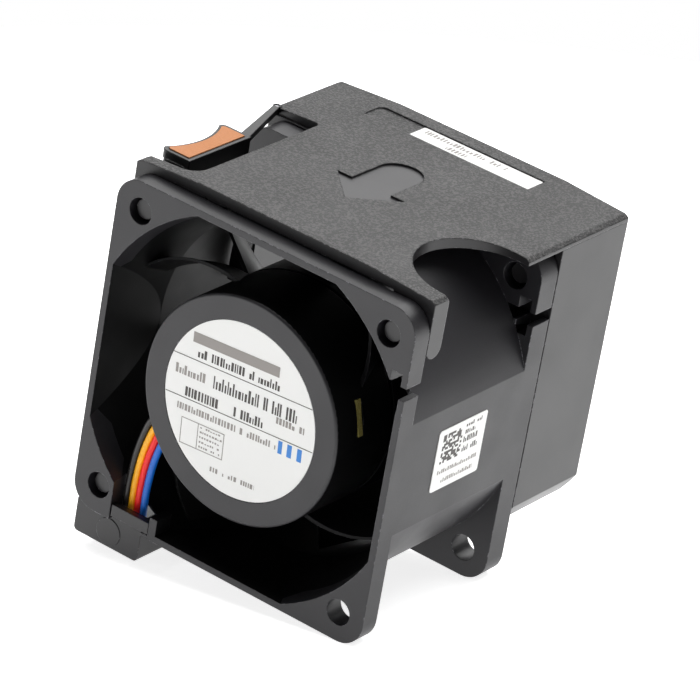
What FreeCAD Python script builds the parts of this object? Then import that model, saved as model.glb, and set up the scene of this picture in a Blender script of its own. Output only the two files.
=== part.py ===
import FreeCAD, Part
import math
import os
import re
import Sketcher

# Hot-plug fan module for a rack server: a 60 mm counter-vane fan in a plastic carrier.
# Millimetres. +X to the right, +Y from the outlet to the inlet, +Z up.
# The origin is the centre of the outlet face, on the fan's axis.

os.makedirs("parts", exist_ok=True)
doc = FreeCAD.newDocument("ServerFanModule")
Vector = FreeCAD.Vector
Rotation = FreeCAD.Rotation

# name, value, meaning
SIZES = (
    # fan housing
    ("flange_side", 60.0, "side of both square flanges"),
    ("fan_depth", 38.0, "outlet face to inlet face"),
    ("front_flange", 3.7, "thickness of the outlet flange"),
    ("rear_flange", 4.4, "thickness of the inlet flange"),
    ("corner_round", 4.5, "radius of the flange corners"),
    ("hole_inset", 5.0, "screw holes from the flanges' sides"),
    ("hole_radius", 2.25, "radius of the flange holes"),
    ("barrel_bulge", 1.6, "reach of the round barrel past half the flanges' width"),
    ("barrel_wall", 1.2, "least wall of the barrel, at its flat sides"),
    ("mouth_flare", 3.2, "widening of the tunnel to the mouth of the outlet"),
    ("mouth_depth", 15.0, "depth over which the mouth narrows to the tunnel"),
    ("slot_front_level", 16.3, "height of the right wire slot in the outlet flange"),
    ("slot_rear_level", 19.0, "height of the right wire slot in the inlet flange"),
    ("slot_width", 2.2, "width of the right wire slots"),
    ("slot_pocket", 6.4, "height of the pocket behind a slot's lips"),
    ("slot_lip", 1.1, "thickness of a slot's lips"),
    ("slot_reach", 4.4, "depth of a wire slot from the side"),
    ("slot_notch", 1.5, "depth of a slot's throat past its pocket"),
    ("ramp_run", 3.0, "reach of the ramp behind the outlet flange's slot"),
    ("ramp_fall", 3.4, "length of that ramp along the axis"),
    ("inlet_flare", 0.7, "widening of the tunnel at the inlet"),
    ("inlet_flare_long", 2.0, "length of that widening"),
    ("lead_notch_left", 22.0, "left side of the lead notch, from the axis"),
    ("lead_notch_right", 13.8, "right side of the lead notch, from the axis"),
    ("lead_notch_high", 9.0, "height of the lead notch above the flange's lower edge"),
    ("notch_lug", 1.5, "width of the hooked lug beside the lead notch"),
    ("lug_high", 4.1, "height of that lug"),
    ("lug_foot", 0.65, "height of that lug's foot"),
    # motor base
    ("hub_radius", 19.4, "radius of the motor base and of the rotor hub"),
    ("hub_wall", 1.4, "side wall of the motor base"),
    ("hub_floor", 1.5, "front wall of the motor base"),
    ("hub_depth", 14.2, "depth of the motor base"),
    ("hub_edge", 0.5, "rounding of the motor base's front edge"),
    ("collar_wall", 1.5, "wall of the collar round the bearing tube"),
    ("collar_depth", 3.2, "depth over which that collar holds the tube"),
    ("label_radius", 15.1, "radius of the round label"),
    ("label_thick", 0.15, "thickness of the labels"),
    ("label_clear", 0.1, "clearance round the round label"),
    ("vane_count", 8, "guide vanes"),
    ("vane_front", 7.8, "front edge of the vanes behind the outlet face"),
    ("vane_depth", 6.0, "depth of a vane along the axis"),
    ("vane_thick", 0.8, "thickness of a vane"),
    ("vane_start", 28.8, "angle of a vane's root"),
    ("vane_sweep", 41.0, "angle between a vane's root and tip"),
    ("vane_lean", 9.0, "turn of a vane's rear edge against its front edge"),
    ("vane_bow", 19.6, "radius of a vane's curve"),
    # circuit board
    ("board_level", 5.6, "front face of the circuit board"),
    ("board_thick", 1.0, "thickness of the circuit board"),
    ("board_window", 6.4, "width of the window that shows the board's tab"),
    ("window_angle", 15.8, "angle of that window"),
    ("window_clear", 0.3, "clearance round the board's tab and the leads' gate"),
    ("post_radius", 1.1, "radius of the posts under the board"),
    ("post_circle", 14.6, "distance of those posts from the axis"),
    ("capacitor_radius", 2.3, "radius of the capacitors"),
    ("capacitor_high", 6.2, "height of the capacitors"),
    ("capacitor_circle", 12.6, "distance of the capacitors from the axis"),
    ("chip_start", 9.2, "inner end of the driver chips"),
    ("chip_end", 13.4, "outer end of the driver chips"),
    ("chip_wide", 4.6, "width of the driver chips"),
    ("chip_high", 1.3, "height of the driver chips"),
    # motor
    ("rotor_gap", 0.8, "gap between the motor base and the rotor hub"),
    ("rotor_wall", 1.6, "side wall of the rotor hub"),
    ("rotor_cap", 2.2, "end wall of the rotor hub"),
    ("rotor_end", 34.0, "rear end of the rotor hub"),
    ("rotor_edge", 1.6, "rounding of the rotor hub's rear edge"),
    ("rotor_boss", 2.7, "wall of the boss round the shaft"),
    ("shaft_cover", 0.8, "plastic behind the end of the shaft"),
    ("yoke_wall", 1.0, "wall of the steel yoke"),
    ("yoke_inset", 0.7, "gap from the hub's open end to the yoke"),
    ("yoke_clear", 0.3, "gap between the yoke's end wall and the boss"),
    ("magnet_inset", 0.4, "gap from the yoke's open end to the magnet"),
    ("magnet_over", 1.4, "length of the magnet past the stator core"),
    ("magnet_thick", 2.0, "radial thickness of the magnet ring"),
    ("air_gap", 0.45, "gap between the magnet ring and the stator"),
    ("fit", 0.03, "radial clearance of pressed and glued parts"),
    ("core_length", 9.5, "length of the stator core"),
    ("core_start", 17.6, "front face of the stator core"),
    ("tooth_width", 4.2, "width of a stator tooth"),
    ("pole_rim", 2.0, "radial thickness of a pole shoe"),
    ("pole_wide", 14.0, "width of a pole shoe"),
    ("core_wall", 2.4, "wall of the core round the bearing tube"),
    ("insulator_thick", 0.9, "thickness of the insulators' ends"),
    ("insulator_over", 0.4, "width of the insulators past a tooth"),
    ("insulator_rim", 1.4, "radial thickness of the insulators' rims"),
    ("coil_wide", 5.2, "width of a coil past its tooth"),
    ("coil_end", 1.2, "height of a coil past its insulator"),
    ("coil_clear", 0.6, "gap between a coil and what it is wound on"),
    ("coil_short", 1.2, "gap between a coil and its pole shoe"),
    ("tube_radius", 5.0, "outer radius of the bearing tube"),
    ("tube_start", 2.2, "front end of the bearing tube"),
    ("tube_end", 30.2, "rear end of the bearing tube"),
    ("bearing_radius", 4.0, "outer radius of the ball bearings"),
    ("bearing_width", 4.0, "width of the ball bearings"),
    ("race_wall", 0.75, "radial thickness of the bearing rings"),
    ("race_offset", 0.1, "inset of the inner rings' ends"),
    ("bearing_sink", 0.4, "depth of the rear bearing in its tube"),
    ("shaft_radius", 1.5, "radius of the shaft"),
    ("shaft_inset", 0.6, "front end of the shaft behind the tube's"),
    ("snap_ring_wall", 1.1, "radial width of the retaining ring"),
    ("snap_ring_thick", 0.5, "thickness of the retaining ring"),
    ("snap_ring_clear", 0.2, "gap between the retaining ring and its bearing"),
    ("snap_ring_depth", 1.1, "front of the retaining ring behind the tube's end"),
    ("washer_wall", 1.4, "radial width of the preload washer"),
    ("washer_room", 1.0, "gap between the tube's end and the rotor's boss"),
    ("shim", 0.05, "axial clearance of stacked parts"),
    # impeller
    ("blade_count", 7, "impeller blades"),
    ("tip_gap", 0.55, "gap between the blade tips and the tunnel"),
    ("blade_front", 16.2, "outlet edge of the blades"),
    ("blade_rear", 31.6, "inlet edge of the blades"),
    ("blade_root_reach", 5.4, "half the length of a blade round the axis, at the hub"),
    ("blade_tip_reach", 11.0, "half the length of a blade round the axis, at the tip"),
    ("blade_sink", 2.6, "depth of the blades' roots in the hub"),
    ("blade_camber", 28.0, "radius of the blades' camber"),
    ("blade_thick", 1.5, "thickness of the blades at the hub"),
    ("blade_thin", 0.6, "share of that thickness left at the tip"),
    ("blade_edge", 0.45, "share of the thickness left at the outlet edge"),
    # top cover
    ("seat_gap", 0.2, "gap between the flanges and what sits on them"),
    ("cover_edge", 1.1, "thickness of the cover at its sides"),
    ("cover_bevel", 0.5, "height of the bevel along the cover's sides"),
    ("cover_bevel_wide", 0.8, "width of that bevel"),
    ("cover_crown", 0.8, "rise of the cover towards its middle"),
    ("crown_half", 17.0, "half width of the cover's flat middle"),
    ("module_depth", 56.5, "outlet face to the rear edge of the cover"),
    ("grip_notch_radius", 10.7, "radius of the finger notch"),
    ("grip_notch_centre", 18.1, "middle of the finger notch behind the outlet face"),
    ("grip_notch_inset", 2.0, "straight part of the finger notch at the side"),
    ("latch_room", 3.6, "gap between the latch lever and the inner edge of its notch"),
    ("latch_notch_front", 6.4, "front edge of the notch over the latch"),
    ("latch_notch_rear", 38.8, "rear edge of the notch over the latch"),
    ("notch_round", 3.0, "radius of that notch's front inner corner"),
    ("notch_rear_round", 1.2, "radius of that notch's rear inner corner"),
    ("leg_wide", 3.7, "width of the cover's front legs along the axis"),
    ("leg_thick", 1.3, "thickness of the cover's front legs"),
    ("leg_end", 21.0, "level of the legs' lower ends"),
    ("ear_thick", 1.4, "thickness of the ears that carry the pins"),
    ("ear_margin", 3.0, "width of an ear from its pin's middle"),
    ("ear_clear", 0.3, "gap between an ear and the barrel"),
    ("ear_root", 0.3, "overlap of legs and ears with the cover"),
    ("pin_radius", 1.7, "radius of the fixing pins"),
    ("pin_recess", 1.2, "depth of the pins' ends behind the outlet face"),
    ("plate_recess", 0.3, "depth of the recess for the cover's label"),
    ("plate_left", 18.4, "left end of the label recess, from the axis"),
    ("plate_right", 15.3, "right end of the label recess, from the axis"),
    ("plate_back", 8.2, "front edge of the label recess before the cover's rear end"),
    ("plate_width", 4.9, "width of the label recess"),
    ("plate_round", 1.2, "radius of that recess's left rear corner"),
    ("strip_clear", 0.15, "gap between the label strip and its recess"),
    ("strip_left", 9.1, "left end of the label strip, from the axis"),
    # inlet shroud
    ("shroud_wall", 1.4, "wall of the inlet shroud"),
    ("shroud_gap", 0.3, "gap between the inlet flange and the shroud"),
    ("shroud_radius", 34.4, "radius of the shroud's curved lower sides"),
    ("shroud_curl", 7.9028, "angle of the shroud's curved part below its straight side"),
    ("bulkhead", 1.7, "thickness of the shroud's front wall"),
    ("bulkhead_low", 4.0, "level of that wall's lower edge"),
    ("bulkhead_clear", 0.8, "widening of that wall's opening past the tunnel"),
    ("peg_length", 3.3, "length of the shroud's pegs in front of that wall"),
    # connector
    ("plug_left", 30.0, "left side of the connector, from the axis"),
    ("plug_right", 16.4, "right side of the connector, from the axis"),
    ("plug_front", 1.8, "front face of the connector"),
    ("plug_depth", 16.0, "depth of the connector along the axis"),
    ("plug_height", 6.0, "height of the connector"),
    ("plug_round", 0.8, "radius of the connector's lower edges"),
    ("entry_clear", 0.05, "clearance round the leads where they enter"),
    ("contact_pitch", 2.54, "pitch of the contacts"),
    ("contact_side", 1.7, "side of a contact's cavity"),
    ("contact_depth", 4.2, "depth of a contact's cavity"),
    ("contact_clear", 0.12, "clearance round a contact"),
    ("contact_wall", 0.25, "wall of a contact"),
    ("contact_root", 0.6, "solid end of a contact"),
    ("contact_inset", 0.4, "depth of a contact's mouth"),
    ("contact_place", 0.55, "share of the connector's depth in front of the contacts"),
    # leads
    ("lead_radius", 0.6, "radius of a lead over its insulation"),
    ("lead_pitch", 1.24, "pitch of the leads"),
    ("lead_level", 3.05, "depth of the leads behind the outlet face"),
    ("lead_angle", 213.0, "angle at which the leads leave the motor base"),
    ("lead_start", 15.8, "radius at which the leads start"),
    ("lead_sink", 1.0, "depth of the leads' ends in the connector"),
    ("lead_bend", 0.45, "share of a lead's shorter run that a bend takes"),
    ("block_long", 4.4, "length of the block that the leads leave"),
    ("block_rim", 0.3, "wall of that block round the leads"),
    ("clip_thick", 1.4, "thickness of the lead clip"),
    ("clip_height", 2.1, "height of the lead clip"),
    ("clip_level", 0.7, "lower side of the clip above the flange's lower edge"),
    ("clip_left", 0.25, "gap between the clip and the notch's left side"),
    ("clip_right", 0.2, "gap between the clip and the notch's right side"),
    ("clip_leg", 1.4, "width of the clip's leg"),
    ("clip_inset", 0.1, "inset of the clip in the flange"),
    # latch
    ("lever_thick", 1.5, "thickness of the latch lever"),
    ("lever_wide", 5.9, "width of the latch lever's grip"),
    ("lever_outer", 29.5, "outer side of the latch lever, from the axis"),
    ("lever_front", 9.1, "front end of the latch lever"),
    ("lever_grip", 15.8, "length of the lever's grip"),
    ("grip_hollow", 13.5, "radius of the grip's finger hollow"),
    ("arm_wide", 1.3, "width of the lever's arm"),
    ("arm_thin", 0.4, "height of the grip above the arm"),
    ("lever_clear", 0.2, "gap between the lever and the shroud under it"),
    ("lever_round", 1.0, "radius of the lever's outer corners"),
    ("skirt_thick", 1.0, "thickness of the lever's inner skirt"),
    ("catch_wide", 0.9, "width of the lever's catch"),
    ("catch_long", 2.2, "length of the lever's catch"),
    ("catch_deep", 1.4, "depth of the lever's catch"),
    ("rim", 0.7, "rim of the lever round its grip pad"),
    ("pad_round", 0.6, "radius of the grip pad's outer corners"),
    ("pad_depth", 0.8, "depth of the grip pad's seat"),
    ("pad_proud", 0.15, "height of the grip pad above its rim"),
    ("pad_clear", 0.05, "clearance round the grip pad"),
    ("skirt_depth", 6.2, "depth of the lever's inner skirt"),
    ("pivot_inset", 0.7, "latch pivot from the left side"),
    ("pivot_level", 39.0, "latch pivot behind the outlet face"),
    ("pivot_boss", 0.7, "radius of the lever's pivot end"),
    ("pivot_radius", 0.35, "radius of the latch pivot pin"),
    ("pivot_clear", 0.06, "clearance of the pivot pin in the lever"),
    ("pivot_room", 0.1, "gap between the cover and the lever's pivot end"),
    ("pivot_sink", 2.8, "depth of the pivot pin under the cover"),
    ("pivot_cap", 0.5, "depth of the pin's end in the lever"),
    # side label
    ("side_label_front", 12.0, "front edge of the side label"),
    ("side_label_long", 12.8, "length of the side label"),
    ("side_label_high", 11.1, "height of the side label"),
    ("side_label_level", 0.4, "middle height of the side label"),
)
NAMES = {name for name, value, meaning in SIZES}
sheet = doc.addObject("Spreadsheet::Sheet", "Sizes")
for row, (name, value, meaning) in enumerate(SIZES, start=1):
    sheet.set("A%d" % row, meaning)
    sheet.set("B%d" % row, str(value))
    sheet.setAlias("B%d" % row, name)
doc.recompute()


# ------------------------------------------------------------------ helpers
def linked(text):
    """An expression with each size's name pointed at its cell."""
    return re.sub(r"[a-z_]+", lambda word: "Sizes." + word[0] if word[0] in NAMES else word[0], str(text))


def amount(text):
    return float(sheet.evalExpression(linked(text)))


def bind(thing, prop, text):
    thing.setExpression(prop, linked(text))


def box(name, x, y, z):
    thing = doc.addObject("Part::Box", name)
    for side, base, (low, high) in (("Length", "x", x), ("Width", "y", y), ("Height", "z", z)):
        bind(thing, side, "(%s) - (%s)" % (high, low))
        bind(thing, "Placement.Base." + base, low)
    return thing


AXIS_TURNS = {"x": Rotation(Vector(0, 1, 0), 90), "y": Rotation(Vector(1, 0, 0), -90), "z": Rotation()}


def lay(thing, axis, start, first, second):
    """Lay a primitive along an axis from start, at its two other coordinates."""
    thing.Placement = FreeCAD.Placement(Vector(), AXIS_TURNS[axis])
    others = [name for name in "xyz" if name != axis]
    bind(thing, "Placement.Base." + axis, start)
    bind(thing, "Placement.Base." + others[0], first)
    bind(thing, "Placement.Base." + others[1], second)


def rod(name, axis, radius, start, end, first="0", second="0"):
    thing = doc.addObject("Part::Cylinder", name)
    bind(thing, "Radius", radius)
    bind(thing, "Height", "(%s) - (%s)" % (end, start))
    lay(thing, axis, start, first, second)
    return thing


def cone(name, axis, radius, end_radius, start, end):
    thing = doc.addObject("Part::Cone", name)
    bind(thing, "Radius1", radius)
    bind(thing, "Radius2", end_radius)
    bind(thing, "Height", "(%s) - (%s)" % (end, start))
    lay(thing, axis, start, "0", "0")
    return thing


def turned_box(name, reach, width, y, angle):
    """A box that reaches out from the fan's axis at an angle above +X."""
    thing = doc.addObject("Part::Box", name)
    bind(thing, "Length", "(%s) - (%s)" % (reach[1], reach[0]))
    bind(thing, "Width", "(%s) - (%s)" % (y[1], y[0]))
    bind(thing, "Height", width)
    thing.Placement = FreeCAD.Placement(Vector(), Rotation(Vector(0, -1, 0), 90))
    bind(thing, "Placement.Rotation.Angle", angle)
    bind(thing, "Placement.Base.x", "(%s) * cos(%s) + (%s) / 2 * sin(%s)" % (reach[0], angle, width, angle))
    bind(thing, "Placement.Base.y", y[0])
    bind(thing, "Placement.Base.z", "(%s) * sin(%s) - (%s) / 2 * cos(%s)" % (reach[0], angle, width, angle))
    return thing


def fuse(name, pieces):
    thing = doc.addObject("Part::MultiFuse", name)
    thing.Shapes = pieces
    thing.Refine = True
    return thing


def common(name, pieces):
    thing = doc.addObject("Part::MultiCommon", name)
    thing.Shapes = pieces
    return thing


def cut(name, base, tools):
    thing = doc.addObject("Part::Cut", name)
    thing.Base = base
    thing.Tool = tools[0] if len(tools) == 1 else fuse(name + "_tools", tools)
    thing.Refine = True
    return thing


def ring(name, axis, radius, hole, start, end):
    outer = rod(name + "_outer", axis, radius, start, end)
    return cut(name, outer, [rod(name + "_hole", axis, hole, "(%s) - 1" % start, "(%s) + 1" % end)])


def new_body(name):
    return doc.addObject("PartDesign::Body", name)


def new_sketch(body, name, role, offset="0"):
    sketch = body.newObject("Sketcher::SketchObject", name)
    plane = [feature for feature in body.Origin.OriginFeatures if feature.Role == role][0]
    sketch.AttachmentSupport = [(plane, "")]
    sketch.MapMode = "FlatFace"
    bind(sketch, "AttachmentOffset.Base.z", offset)
    return sketch


def pin_down(sketch, kind, text, *where):
    index = sketch.addConstraint(Sketcher.Constraint(kind, *where, amount(text)))
    bind(sketch, "Constraints[%d]" % index, text)


def circle(sketch, radius, x="0", y="0"):
    centre = Vector(amount(x), amount(y), 0)
    edge = sketch.addGeometry(Part.Circle(centre, Vector(0, 0, 1), amount(radius)), False)
    pin_down(sketch, "DistanceX", x, -1, 1, edge, 3)
    pin_down(sketch, "DistanceY", y, -1, 1, edge, 3)
    pin_down(sketch, "Radius", radius, edge)


def outline(sketch, corners, bends=None):
    """A closed outline through the corners. A bend makes the edge that starts at
    its corner an arc of (radius, side); side 1 has the centre on the left."""
    bends = bends or {}
    points = [Vector(amount(x), amount(y), 0) for x, y in corners]
    ends = []
    for index, start in enumerate(points):
        stop = points[(index + 1) % len(points)]
        if index not in bends:
            edge = sketch.addGeometry(Part.LineSegment(start, stop), False)
            ends.append((edge, 1, 2))
            continue
        radius, side = bends[index]
        chord = stop - start
        across = Vector(-chord.y, chord.x, 0).normalize() * side
        rise = math.sqrt(max(amount(radius) ** 2 - (chord.Length / 2) ** 2, 0.0))
        centre = (start + stop) * 0.5 + across * rise
        first, last = (start, stop) if side > 0 else (stop, start)
        angles = [math.atan2(point.y - centre.y, point.x - centre.x) for point in (first, last)]
        arc = Part.ArcOfCircle(Part.Circle(centre, Vector(0, 0, 1), amount(radius)), angles[0], angles[1])
        edge = sketch.addGeometry(arc, False)
        ends.append((edge, 1, 2) if side > 0 else (edge, 2, 1))
        pin_down(sketch, "Radius", radius, edge)
    for index, (edge, head, tail) in enumerate(ends):
        following = ends[(index + 1) % len(ends)]
        sketch.addConstraint(Sketcher.Constraint("Coincident", edge, tail, following[0], following[1]))
        pin_down(sketch, "DistanceX", corners[index][0], -1, 1, edge, head)
        pin_down(sketch, "DistanceY", corners[index][1], -1, 1, edge, head)


def feature(body, kind, profile, **settings):
    thing = body.newObject("PartDesign::" + kind, kind + "_" + profile.Name)
    thing.Profile = profile
    for prop, text in settings.items():
        if isinstance(text, str):
            bind(thing, prop, text)
        else:
            setattr(thing, prop, text)
    return thing


def revolve(body, kind, profile):
    return feature(body, kind, profile, ReferenceAxis=(profile, ["V_Axis"]), Angle=360.0)


def around_axis(body, original, count):
    pattern = body.newObject("PartDesign::PolarPattern", original.Name + "_row")
    pattern.Originals = [original]
    spin = [item for item in body.Origin.OriginFeatures if item.Role == "Y_Axis"][0]
    pattern.Axis = (spin, [""])
    pattern.Angle = 360.0
    bind(pattern, "Occurrences", count)
    body.Tip = pattern
    return pattern


NODES = []


def node(thing, name):
    thing.Label = name
    NODES.append(thing)
    return thing


# angles round the axis, in degrees above +X
POST_TURNS = (80, 160, 320)
CAPACITOR_TURNS = (110, 140, 300)
CHIP_TURNS = (20, 200)
# corners of the leads between the motor base and the connector: x and z of the
# first lead, and their change per millimetre of shift to the next lead
LEAD_ROUTE = ((-18.7, 0.869, -10.4, -0.604), (-20.6, 0.976, -17.0, -0.2), (-21.3, 1.0, -23.5, -0.04))
LEAD_END = -21.05

HALF = "flange_side / 2"
TUNNEL = "(flange_side / 2 - barrel_wall)"
PITCH = "(flange_side / 2 - hole_inset)"
EAR_END = "(flange_side / 2 - hole_inset - ear_margin)"
UNDER = "(flange_side / 2 + seat_gap)"
BARREL = "(flange_side / 2 + barrel_bulge)"
MOUTH = "(%s + mouth_flare)" % TUNNEL
PLATE_LEVEL = "(%s + cover_edge + cover_crown - plate_recess)" % UNDER
PLATE_FRONT = "(module_depth - plate_back)"
LEVER_INNER = "-(lever_outer - lever_wide)"


# ------------------------------------------------------------------ fan housing
def flange(name, start, thick):
    body = new_body(name)
    sketch = new_sketch(body, name + "_square", "XZ_Plane", "-(%s)" % start)
    near = "(flange_side / 2 - corner_round)"
    corners = []
    for x, z, order in ((1, 1, 1), (-1, 1, -1), (-1, -1, 1), (1, -1, -1)):
        side = ("%d * %s" % (x, HALF), "%d * %s" % (z, near))
        end = ("%d * %s" % (x, near), "%d * %s" % (z, HALF))
        corners += [side, end] if order > 0 else [end, side]
    outline(sketch, corners, {index: ("corner_round", 1) for index in (0, 2, 4, 6)})
    feature(body, "Pad", sketch, Length=thick, Reversed=True)
    return body


def wire_slot(name, level, y):
    """A wire slot in a flange's right side, with a pocket behind its lips."""
    inner = "(flange_side / 2 - slot_reach)"
    throat = box(name + "_throat", (inner + " - slot_notch", HALF + " + 1"), y,
                 ("(%s) - slot_width / 2" % level, "(%s) + slot_width / 2" % level))
    pocket = box(name + "_pocket", (inner + " + slot_lip", HALF + " - slot_lip"), y,
                 ("(%s) - slot_pocket / 2" % level, "(%s) + slot_pocket / 2" % level))
    return [throat, pocket]


def make_housing():
    tube = rod("barrel_round", "y", BARREL, "0", "fan_depth")
    block = box("barrel_block", ("-" + HALF, HALF), ("0", "fan_depth"), ("-" + HALF, HALF))
    envelope = common("barrel", [tube, block])
    front = flange("outlet_flange", "0", "front_flange")
    rear = flange("inlet_flange", "fan_depth - rear_flange", "rear_flange")
    skin = fuse("housing_skin", [envelope, front, rear])

    funnel = cone("mouth", "y", MOUTH, TUNNEL, "0", "mouth_depth")
    tunnel = rod("tunnel", "y", TUNNEL, "mouth_depth - 1", "fan_depth + 1")
    lead_in = rod("mouth_lead_in", "y", MOUTH, "-1", "0.01")
    room = box("mouth_room", ("-" + TUNNEL, TUNNEL), ("-1", "fan_depth + 1"), ("-" + TUNNEL, TUNNEL))
    void = common("air_way", [fuse("air_way_round", [funnel, tunnel, lead_in]), room])
    inlet = cone("inlet_widening", "y", TUNNEL, TUNNEL + " + inlet_flare",
                 "fan_depth - inlet_flare_long", "fan_depth + 0.01")

    cuts = [void, inlet]
    for number, (x, z) in enumerate(((1, 1), (-1, 1), (-1, -1), (1, -1)), start=1):
        place = ("%d * %s" % (x, PITCH), "%d * %s" % (z, PITCH))
        cuts.append(rod("screw_hole_%d" % number, "y", "hole_radius", "-1", "fan_depth + 1", *place))
    cuts += wire_slot("outlet_slot", "slot_front_level", ("-1", "front_flange"))
    cuts += wire_slot("inlet_slot", "slot_rear_level", ("fan_depth - rear_flange", "fan_depth + 1"))
    cuts.append(box("lead_notch", ("-lead_notch_left", "-lead_notch_right"), ("-1", "front_flange + shim"),
                    ("-%s - 1" % HALF, "-%s + lead_notch_high" % HALF)))
    ramp = doc.addObject("Part::Wedge", "slot_ramp")
    for side, text in (("Xmin", "0"), ("Xmax", "ramp_run"), ("Ymin", "0"), ("Ymax", "ramp_fall"),
                       ("Zmin", "0"), ("Zmax", "slot_width * 2"), ("X2min", "ramp_run"),
                       ("X2max", "ramp_run"), ("Z2min", "slot_width"), ("Z2max", "slot_width * 2")):
        bind(ramp, side, text)
    bind(ramp, "Placement.Base.x", HALF + " - ramp_run + shim")
    bind(ramp, "Placement.Base.y", "front_flange")
    bind(ramp, "Placement.Base.z", "slot_front_level - slot_width * 1.5")
    cuts.append(ramp)
    shell = cut("housing_shell", skin, cuts)

    lug = box("notch_lug_post", ("-lead_notch_right", "-lead_notch_right + notch_lug"),
              ("0", "front_flange"), ("-" + HALF, "-%s + lug_high" % HALF))
    foot = box("notch_lug_foot", ("-lead_notch_right - notch_lug", "-lead_notch_right"),
               ("0", "front_flange"), ("-" + HALF, "-%s + lug_foot" % HALF))

    base = new_body("motor_base")
    profile = new_sketch(base, "motor_base_profile", "XY_Plane")
    seat = "tube_radius + fit"
    recess = "label_radius + label_clear"
    collar = "tube_start + collar_depth"
    outline(profile, [
        ("0", "label_thick"), (recess, "label_thick"), (recess, "0"),
        ("hub_radius - hub_edge", "0"), ("hub_radius", "hub_edge"), ("hub_radius", "hub_depth"),
        ("hub_radius - hub_wall", "hub_depth"), ("hub_radius - hub_wall", "hub_floor"),
        ("tube_radius + collar_wall", "hub_floor"), ("tube_radius + collar_wall", collar),
        (seat, collar), (seat, "tube_start"), ("0", "tube_start")],
        {3: ("hub_edge", 1)})
    revolve(base, "Revolution", profile)

    posts = [rod("board_post_%d" % turn, "y", "post_radius", "hub_floor - 0.1", "board_level",
                 "post_circle * cos(%d)" % turn, "post_circle * sin(%d)" % turn) for turn in POST_TURNS]
    window = turned_box("board_window_cut", ("hub_radius - 3", "hub_radius + 1"), "board_window",
                        ("board_level - window_clear", "board_level + board_thick + window_clear"),
                        "window_angle")
    gate = turned_box("lead_gate", ("hub_radius - 3", "hub_radius + 1"), "lead_pitch * 4 + window_clear * 3",
                      ("lead_level - lead_radius - window_clear", "lead_level + lead_radius + window_clear"),
                      "lead_angle")
    hub = cut("motor_base_open", fuse("motor_base_posts", [base] + posts), [window, gate])

    vanes = new_body("guide_vanes")
    front_edge = vane_section(vanes, "vane_front_edge", "vane_front", "0")
    rear_edge = vane_section(vanes, "vane_rear_edge", "vane_front + vane_depth", "vane_lean")
    vane = feature(vanes, "AdditiveLoft", front_edge, Sections=[rear_edge])
    around_axis(vanes, vane, "vane_count")
    trimmed = common("guide_vanes_trimmed", [vanes, envelope])
    node(fuse("fan_frame", [shell, lug, foot, hub, trimmed]), "fan_frame")


def vane_section(body, name, level, turn):
    """A guide vane's curved strip, seen along the axis, at one depth."""
    sketch = new_sketch(body, name, "XZ_Plane", "-(%s)" % level)
    root = "(hub_radius - hub_wall / 2)"
    tip = "(%s - barrel_wall / 2)" % BARREL
    start = "(vane_start + (%s))" % turn
    stop = "(vane_start + vane_sweep + (%s))" % turn
    # the strip's thickness lies across a line halfway between its two end angles
    lie = "(vane_start + vane_sweep + (%s))" % turn
    dx = "vane_thick / 2 * sin(%s)" % lie
    dz = "vane_thick / 2 * cos(%s)" % lie
    outline(sketch, [
        ("%s * cos(%s) - %s" % (root, start, dx), "%s * sin(%s) + %s" % (root, start, dz)),
        ("%s * cos(%s) + %s" % (root, start, dx), "%s * sin(%s) - %s" % (root, start, dz)),
        ("%s * cos(%s) + %s" % (tip, stop, dx), "%s * sin(%s) - %s" % (tip, stop, dz)),
        ("%s * cos(%s) - %s" % (tip, stop, dx), "%s * sin(%s) + %s" % (tip, stop, dz))],
        {1: ("vane_bow + vane_thick", 1), 3: ("vane_bow", -1)})
    return sketch


# ------------------------------------------------------------------ impeller
def blade_section(body, name, radius, reach, share):
    """A cambered blade section on a plane across the radius."""
    sketch = new_sketch(body, name, "YZ_Plane", radius)
    turn = "atan(%s / ((blade_rear - blade_front) / 2))" % reach
    half = "(blade_thick / 2 * %s)" % share
    edge = "(%s * blade_edge)" % half
    outline(sketch, [
        ("blade_front + %s * sin(%s)" % (edge, turn), "-%s - %s * cos(%s)" % (reach, edge, turn)),
        ("blade_rear + %s * sin(%s)" % (half, turn), "%s - %s * cos(%s)" % (reach, half, turn)),
        ("blade_rear - %s * sin(%s)" % (half, turn), "%s + %s * cos(%s)" % (reach, half, turn)),
        ("blade_front - %s * sin(%s)" % (edge, turn), "-%s + %s * cos(%s)" % (reach, edge, turn))],
        {0: ("blade_camber", 1), 1: (half + " * 1.05", 1), 2: ("blade_camber", -1)})
    return sketch


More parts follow.
